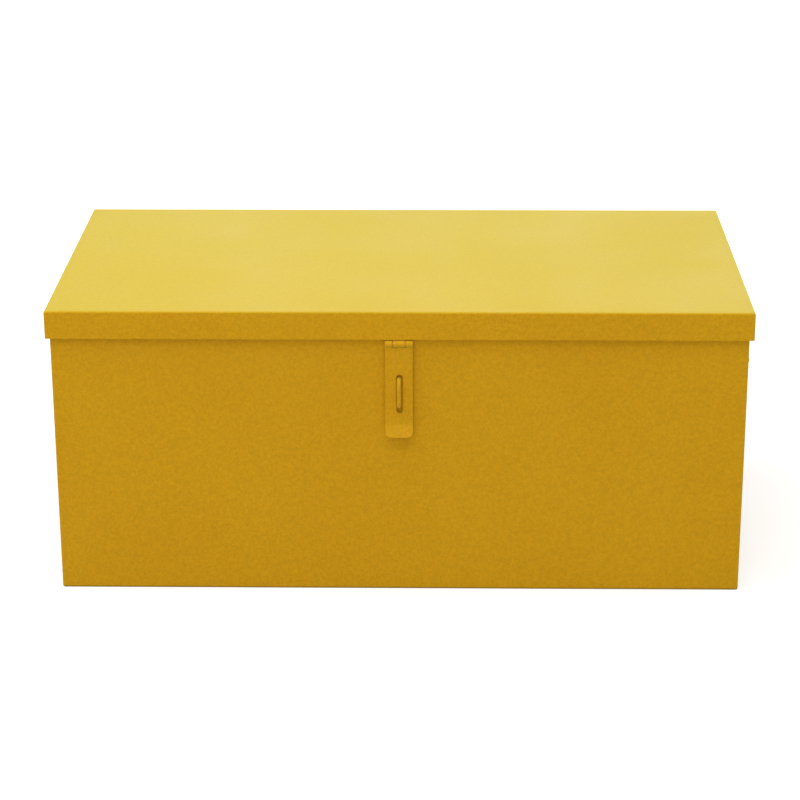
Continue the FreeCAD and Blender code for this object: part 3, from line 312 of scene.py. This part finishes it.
tree.links.new(ground_shaded.outputs["Result"], coat.inputs["Base Color"])
tree.links.new(
    mottled(tree, here, ROUGHNESS_PATCHES_PER_METRE, *COAT_ROUGHNESS), coat.inputs["Roughness"]
)
orange_peel = add_node(
    tree, "ShaderNodeBump", {"Strength": PEEL_STRENGTH, "Distance": PEEL_DEPTH * MM}
)
tree.links.new(mottled(tree, here, PEEL_PER_METRE, 0.0, 1.0), orange_peel.inputs["Height"])
tree.links.new(orange_peel.outputs["Normal"], coat.inputs["Normal"])


def finish(material, *names):
    """Gives CAD nodes their one material."""
    for name in names:
        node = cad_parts[name]
        node.data.materials.clear()
        node.data.materials.append(material)


finish(powder_coat, "body_shell", "end_panel_left", "end_panel_right")

# --- Spot welds in the chest ---------------------------------------------------------------------
# The end panels' flanges are spot-welded to the shell: each weld leaves a shallow round dish with a
# low rim, under the paint.

SPOT_RADIUS = 3.4
SPOT_HEIGHT = 0.3
SPOT_RIM = 0.9
SPOT_DISH = 0.22
SPOT_SOFTENING = 0.2
SPOT_SIDES = 20
SOFT_STEPS = 2
SAME_PLACE = 0.01
FACING = 0.9
SMOOTH_BELOW = 40
SIDES = (("left", -1), ("right", 1))
WALLS = (("front", -1), ("back", 1))
FLANGE_MIDDLE = 367.9
WALL_FLANGE_FACE = 195.5
FLOOR_FLANGE_FACE = 3.0
WALL_SPOTS = 5
WALL_SPOTS_FROM = 40
WALL_SPOT_PITCH = 60
FLOOR_SPOTS = 6
FLOOR_SPOTS_FROM = -165
FLOOR_SPOT_PITCH = 66


def added(name):
    """The primitive that was just added, named, with its place and turn in its mesh."""
    piece = bpy.context.active_object
    piece.name = name
    piece.data.name = name
    bpy.ops.object.transform_apply(location=True, rotation=True, scale=True)
    return piece


def pick_faces(piece, chosen):
    """Edit mode, with only the faces for which chosen(middle, normal) is true, in millimetres."""
    bpy.ops.object.mode_set(mode="EDIT")
    bpy.ops.mesh.select_mode(type="FACE")
    bpy.ops.mesh.select_all(action="DESELECT")
    bpy.ops.object.mode_set(mode="OBJECT")
    for face in piece.data.polygons:
        face.select = chosen(face.center / MM, face.normal)
    bpy.ops.object.mode_set(mode="EDIT")


def pick_edges(piece, chosen):
    """Edit mode, with only the edges for which chosen(end, other end) is true, in millimetres."""
    bpy.ops.object.mode_set(mode="EDIT")
    bpy.ops.mesh.select_mode(type="EDGE")
    bpy.ops.mesh.select_all(action="DESELECT")
    bpy.ops.object.mode_set(mode="OBJECT")
    points = piece.data.vertices
    for edge in piece.data.edges:
        edge.select = chosen(*(points[end].co / MM for end in edge.vertices))
    bpy.ops.object.mode_set(mode="EDIT")


def fixed(piece, material, body):
    """Smooths a modelled piece, gives it its finish and sets it on its body."""
    if bpy.context.object.mode != "OBJECT":
        bpy.ops.object.mode_set(mode="OBJECT")
    bpy.ops.object.select_all(action="DESELECT")
    piece.select_set(True)
    bpy.context.view_layer.objects.active = piece
    bpy.ops.object.shade_smooth_by_angle(angle=math.radians(SMOOTH_BELOW))
    piece.data.materials.clear()
    piece.data.materials.append(material)
    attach(piece, body)


def spot_weld_row(name, first, outward, step, count, body):
    """A row of spot welds from the first one's place, a step apart, standing out from a face."""
    first, outward, step = Vector(first), Vector(outward), Vector(step)
    bpy.ops.object.select_all(action="DESELECT")
    bpy.ops.mesh.primitive_cylinder_add(
        vertices=SPOT_SIDES,
        radius=SPOT_RADIUS * MM,
        depth=SPOT_HEIGHT * MM,
        location=(first + outward * (SPOT_HEIGHT / 2)) * MM,
        rotation=outward.to_track_quat("Z", "Y").to_euler(),
    )
    piece = added(name)
    pick_faces(piece, lambda middle, normal: normal.dot(outward) > FACING)
    bpy.ops.mesh.inset(thickness=SPOT_RIM * MM)
    bpy.ops.transform.translate(value=-outward * SPOT_DISH * MM)
    top = first.dot(outward) + SPOT_HEIGHT

    def at_top(end):
        return abs(end.dot(outward) - top) < SAME_PLACE

    pick_edges(piece, lambda a, b: at_top(a) and at_top(b))
    bpy.ops.mesh.bevel(offset=SPOT_SOFTENING * MM, segments=SOFT_STEPS)
    bpy.ops.object.mode_set(mode="OBJECT")
    row = piece.modifiers.new("row", "ARRAY")
    row.count = count
    row.use_relative_offset = False
    row.use_constant_offset = True
    row.constant_offset_displace = step * MM
    bpy.ops.object.modifier_apply(modifier="row")
    fixed(piece, powder_coat, body)


for side, across in SIDES:
    for wall, along in WALLS:
        spot_weld_row(
            f"spot_welds_{wall}_{side}",
            (across * FLANGE_MIDDLE, along * WALL_FLANGE_FACE, WALL_SPOTS_FROM),
            (0, -along, 0),
            (0, 0, WALL_SPOT_PITCH),
            WALL_SPOTS,
            "box",
        )
    spot_weld_row(
        f"spot_welds_floor_{side}",
        (across * FLANGE_MIDDLE, FLOOR_SPOTS_FROM, FLOOR_FLANGE_FACE),
        (0, 0, 1),
        (0, FLOOR_SPOT_PITCH, 0),
        FLOOR_SPOTS,
        "box",
    )

# --- Staple and its backing plate ----------------------------------------------------------------
# A bent rod passes through the front wall for the padlock. Inside, its two legs are welded to the
# plate that spreads the load, with a rippled bead round each leg.

STAPLE_MIDDLE = 0.05
STAPLE_LEGS = (249.7, 221.0)
PLATE_FACE = -195.0
STAPLE_ROD_RADIUS = 1.9
STAPLE_BEAD = 1.3
STAPLE_BEAD_OUT = 0.6
STAPLE_RIPPLES = 12
BEAD_SIDES = 10
STRETCHES = 3
RIPPLE_HALF = 0.1
RIPPLE_FULLER = 0.16
PLATE_SPOT_OUT = 14
PLATE_SPOT_HEIGHTS = (216, 254.5)

finish(powder_coat, "staple", "staple_backing_plate")
for end, high in zip(("lower", "upper"), PLATE_SPOT_HEIGHTS):
    spot_weld_row(
        f"spot_welds_staple_plate_{end}",
        (-PLATE_SPOT_OUT, PLATE_FACE, high),
        (0, 1, 0),
        (2 * PLATE_SPOT_OUT, 0, 0),
        count=2,
        body="box",
    )


def ring_bead(name, middle, outward, radius, bead, ripples, body):
    """A weld bead round a rod: a ring whose every third stretch is a little fuller."""
    outward, middle = Vector(outward), Vector(middle)
    turn = outward.to_track_quat("Z", "Y")
    bpy.ops.object.select_all(action="DESELECT")
    bpy.ops.mesh.primitive_torus_add(
        major_segments=STRETCHES * ripples,
        minor_segments=BEAD_SIDES,
        major_radius=radius * MM,
        minor_radius=bead * MM,
        location=middle * MM,
        rotation=turn.to_euler(),
    )
    piece = added(name)
    turn_back = turn.inverted()

    def on_ripple(end):
        flat = turn_back @ (end - middle)
        share = math.atan2(flat.y, flat.x) / math.tau * ripples % 1
        return share < RIPPLE_HALF or share > 1 - RIPPLE_HALF

    pick_edges(piece, lambda a, b: on_ripple(a) and on_ripple(b))
    bpy.ops.transform.shrink_fatten(value=bead * RIPPLE_FULLER * MM)
    fixed(piece, powder_coat, body)


for end, high in zip(("upper", "lower"), STAPLE_LEGS):
    ring_bead(
        f"staple_weld_{end}",
        (STAPLE_MIDDLE, PLATE_FACE, high),
        (0, 1, 0),
        STAPLE_ROD_RADIUS + STAPLE_BEAD_OUT,
        STAPLE_BEAD,
        STAPLE_RIPPLES,
        "box",
    )

# --- Continuous hinge ----------------------------------------------------------------------------
# Two rolled leaves on one pin along the back, spot-welded to the back wall and inside the lid's
# back lip. The pin is painted in place with the leaves.

LEAF_FACE = 200.0
LEAF_SPOT_HEIGHT = 273.4
LIP_FACE = 203.2
LIP_SPOT_HEIGHT = 310
HINGE_SPOT_PITCH = 76.2
HINGE_SPOTS = 9
HINGE_SPOTS_FROM = -(HINGE_SPOTS // 2) * HINGE_SPOT_PITCH

finish(powder_coat, "hinge_body_leaf", "hinge_lid_leaf", "hinge_pin")
spot_weld_row(
    "spot_welds_hinge_box",
    (HINGE_SPOTS_FROM, LEAF_FACE, LEAF_SPOT_HEIGHT),
    (0, 1, 0),
    (HINGE_SPOT_PITCH, 0, 0),
    HINGE_SPOTS,
    "box",
)
spot_weld_row(
    "spot_welds_hinge_lid",
    (HINGE_SPOTS_FROM, LIP_FACE, LIP_SPOT_HEIGHT),
    (0, 1, 0),
    (HINGE_SPOT_PITCH, 0, 0),
    HINGE_SPOTS,
    "lid",
)

# --- End handles ---------------------------------------------------------------------------------
# A painted plate with folded lugs is riveted to each end wall. A zinc-plated rod swings in the
# lugs, and a ribbed black vinyl sleeve covers its grip.

ZINC = (0.50, 0.51, 0.52, 1)
ZINC_WARM = (0.58, 0.56, 0.50, 1)
VINYL = (0.014, 0.014, 0.015, 1)
VINYL_DUSTY = (0.026, 0.026, 0.026, 1)
GRIP_RADIUS = 8.0
GRIP_BORE = 3.55
GRIP_LENGTH = 92.0
GRIP_ROUNDING = 2.0
GRIP_ROUNDING_STEPS = 4
GRIP_OUT = 387.3
GRIP_HEIGHT = 180.9
RIB_PITCH = 8.0
RIB_VALLEYS = 9
VALLEY_DEPTH = 0.55
VALLEY_HALF = 1.2
GRIP_SIDES = 40
GRIP_RINGS = 43
SKIN = 0.1


def grained_material(name, shader, colours, clouds, roughness, patches, relief, depth, grains):
    """A finish that drifts between two colours and two roughnesses, over a fine relief."""
    material = bpy.data.materials.new(name)
    material.use_nodes = True
    tree = material.node_tree
    surface = tree.nodes["Principled BSDF"]
    for socket, value in shader.items():
        surface.inputs[socket].default_value = value
    here = add_node(tree, "ShaderNodeTexCoord").outputs["Object"]
    drift = add_node(tree, "ShaderNodeMix", {"A": colours[0], "B": colours[1]}, data_type="RGBA")
    tree.links.new(mottled(tree, here, clouds, 0.0, 1.0), drift.inputs["Factor"])
    tree.links.new(drift.outputs["Result"], surface.inputs["Base Color"])
    tree.links.new(mottled(tree, here, patches, *roughness), surface.inputs["Roughness"])
    bump = add_node(tree, "ShaderNodeBump", {"Strength": relief, "Distance": depth * MM})
    tree.links.new(mottled(tree, here, grains, 0.0, 1.0), bump.inputs["Height"])
    tree.links.new(bump.outputs["Normal"], surface.inputs["Normal"])
    return material


zinc = grained_material(
    "zinc_plated_steel",
    {"Metallic": 1.0},
    colours=(ZINC, ZINC_WARM),
    clouds=90.0,
    roughness=(0.34, 0.50),
    patches=260.0,
    relief=0.2,
    depth=0.05,
    grains=1500.0,
)
vinyl = grained_material(
    "black_vinyl",
    {"Specular IOR Level": 0.4},
    colours=(VINYL, VINYL_DUSTY),
    clouds=60.0,
    roughness=(0.45, 0.62),
    patches=200.0,
    relief=0.3,
    depth=0.1,
    grains=1200.0,
)

for side, across in SIDES:
    finish(powder_coat, f"handle_plate_{side}")
    finish(zinc, f"handle_bail_{side}", f"handle_rivets_{side}")

    out = across * GRIP_OUT
    bpy.ops.object.select_all(action="DESELECT")
    bpy.ops.mesh.primitive_cylinder_add(
        vertices=GRIP_SIDES,
        radius=GRIP_RADIUS * MM,
        depth=GRIP_LENGTH * MM,
        location=(out * MM, 0, GRIP_HEIGHT * MM),
        rotation=(math.radians(90), 0, 0),
    )
    grip = added(f"handle_sleeve_{side}")
    pick_faces(grip, lambda middle, normal: abs(normal.y) > FACING)
    bpy.ops.mesh.inset(thickness=(GRIP_RADIUS - GRIP_BORE) * MM)
    bpy.ops.mesh.bridge_edge_loops()

    def on_skin(*points):
        """Whether points of the sleeve are on its outer skin, and not in its bore."""
        return all(
            math.hypot(point.x - out, point.z - GRIP_HEIGHT) > GRIP_RADIUS - SKIN
            for point in points
        )

    pick_edges(grip, lambda a, b: abs(a.y - b.y) < SAME_PLACE and on_skin(a, b))
    bpy.ops.mesh.bevel(offset=GRIP_ROUNDING * MM, segments=GRIP_ROUNDING_STEPS)
    pick_edges(grip, lambda a, b: abs(a.y - b.y) > GRIP_LENGTH / 2 and on_skin(a, b))
    bpy.ops.mesh.subdivide(number_cuts=GRIP_RINGS)
    narrower = 1 - VALLEY_DEPTH / GRIP_RADIUS
    for valley in range(RIB_VALLEYS):
        along = (valley - (RIB_VALLEYS - 1) / 2) * RIB_PITCH
        pick_edges(
            grip,
            lambda a, b: max(abs(a.y - along), abs(b.y - along)) < VALLEY_HALF and on_skin(a, b),
        )
        bpy.ops.transform.resize(
            value=(narrower, 1, narrower), center_override=(out * MM, along * MM, GRIP_HEIGHT * MM)
        )
    fixed(grip, vinyl, f"handle_{side}")
    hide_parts(f"handle_grip_{side}")

# --- Lid -----------------------------------------------------------------------------------------
# A pan folded from one sheet, its four corners welded and ground outside, with the bead left inside
# each corner. Under it a hat channel is spot-welded along both feet to keep it flat.

FOOT_FACE = 322.7
FOOT_MIDDLE = 21.5
CORNER_OUT = 379.0
CORNER_ALONG = 201.2
CORNER_MIDDLE = 309.0
CORNER_LENGTH = 27.0
SEAM_BEAD = 1.3
SEAM_SIDES = 12
SEAM_END = 0.6
RIPPLE_PITCH = 2.2
CHANNEL_SPOTS = 7
CHANNEL_SPOTS_FROM = -300
CHANNEL_SPOT_PITCH = 100

finish(powder_coat, "lid_pan", "lid_stiffener")


def seam_bead(name, middle, along, length, body):
    """A straight weld bead: a round-ended rod whose every third stretch is a little fuller."""
    middle, along = Vector(middle), Vector(along)
    ripples = round(length / RIPPLE_PITCH)
    bpy.ops.object.select_all(action="DESELECT")
    bpy.ops.mesh.primitive_cylinder_add(
        vertices=SEAM_SIDES,
        radius=SEAM_BEAD * MM,
        depth=length * MM,
        location=middle * MM,
        rotation=along.to_track_quat("Z", "Y").to_euler(),
    )
    piece = added(name)

    def far(end):
        return (end - middle).dot(along)

    pick_edges(piece, lambda a, b: abs(far(a) - far(b)) < SAME_PLACE)
    bpy.ops.mesh.bevel(offset=SEAM_END * SEAM_BEAD * MM, segments=SOFT_STEPS)
    pick_edges(piece, lambda a, b: abs(far(a) - far(b)) > length / 2)
    bpy.ops.mesh.subdivide(number_cuts=STRETCHES * ripples - 1)

    def on_ripple(end):
        share = (far(end) / (length - 2 * SEAM_END * SEAM_BEAD) + 0.5) * ripples
        return min(share % 1, 1 - share % 1) < RIPPLE_HALF and 0.5 < share < ripples - 0.5

    pick_edges(piece, lambda a, b: on_ripple(a) and on_ripple(b))
    bpy.ops.transform.shrink_fatten(value=SEAM_BEAD * RIPPLE_FULLER * MM)
    fixed(piece, powder_coat, body)


for side, across in SIDES:
    for lip, along in WALLS:
        seam_bead(
            f"lid_corner_weld_{lip}_{side}",
            (across * CORNER_OUT, along * CORNER_ALONG, CORNER_MIDDLE),
            (0, 0, 1),
            CORNER_LENGTH,
            "lid",
        )
for foot, along in WALLS:
    spot_weld_row(
        f"spot_welds_channel_{foot}",
        (CHANNEL_SPOTS_FROM, along * FOOT_MIDDLE, FOOT_FACE),
        (0, 0, -1),
        (CHANNEL_SPOT_PITCH, 0, 0),
        CHANNEL_SPOTS,
        "lid",
    )

# --- Hasp ----------------------------------------------------------------------------------------
# The fixed leaf is spot-welded behind the front lip. The slotted strap swings on its pin, and all
# three are painted in place.

HASP_LEAF_FACE = -200.2
HASP_SPOT_OUT = 8
HASP_SPOT_HEIGHT = 307

finish(powder_coat, "hasp_hinge_leaf", "hasp_strap", "hasp_pin")
spot_weld_row(
    "spot_welds_hasp",
    (-HASP_SPOT_OUT, HASP_LEAF_FACE, HASP_SPOT_HEIGHT),
    (0, 1, 0),
    (2 * HASP_SPOT_OUT, 0, 0),
    count=2,
    body="lid",
)

# --- Lid stay ------------------------------------------------------------------------------------
# A bracket welded under the lid carries the zinc-plated arm on a rivet. The arm's slot slides on a
# stud that is welded to the end wall, under a washer.

STUD_BASE_RADIUS = 10.0
STUD_PLACE = (374.8, 84.05, 271.35)
STUD_BEAD = 1.5
STUD_BEAD_OUT = 0.3
STUD_RIPPLES = 26
BRACKET_FOOT_MIDDLE = 346.8
BRACKET_FOOT_LENGTH = 17.0
BRACKET_ENDS = (67.05, 101.05)
FOOT_BEAD_HEIGHT = 323.3

finish(powder_coat, "stay_bracket")
finish(zinc, "stay_arm", "stay_stud", "stay_washer", "stay_pivot_rivet")
for end, along in zip(("front", "back"), BRACKET_ENDS):
    seam_bead(
        f"stay_bracket_weld_{end}",
        (BRACKET_FOOT_MIDDLE, along, FOOT_BEAD_HEIGHT),
        (1, 0, 0),
        BRACKET_FOOT_LENGTH,
        "lid",
    )
ring_bead(
    "stud_weld",
    STUD_PLACE,
    (-1, 0, 0),
    STUD_BASE_RADIUS + STUD_BEAD_OUT,
    STUD_BEAD,
    STUD_RIPPLES,
    "box",
)
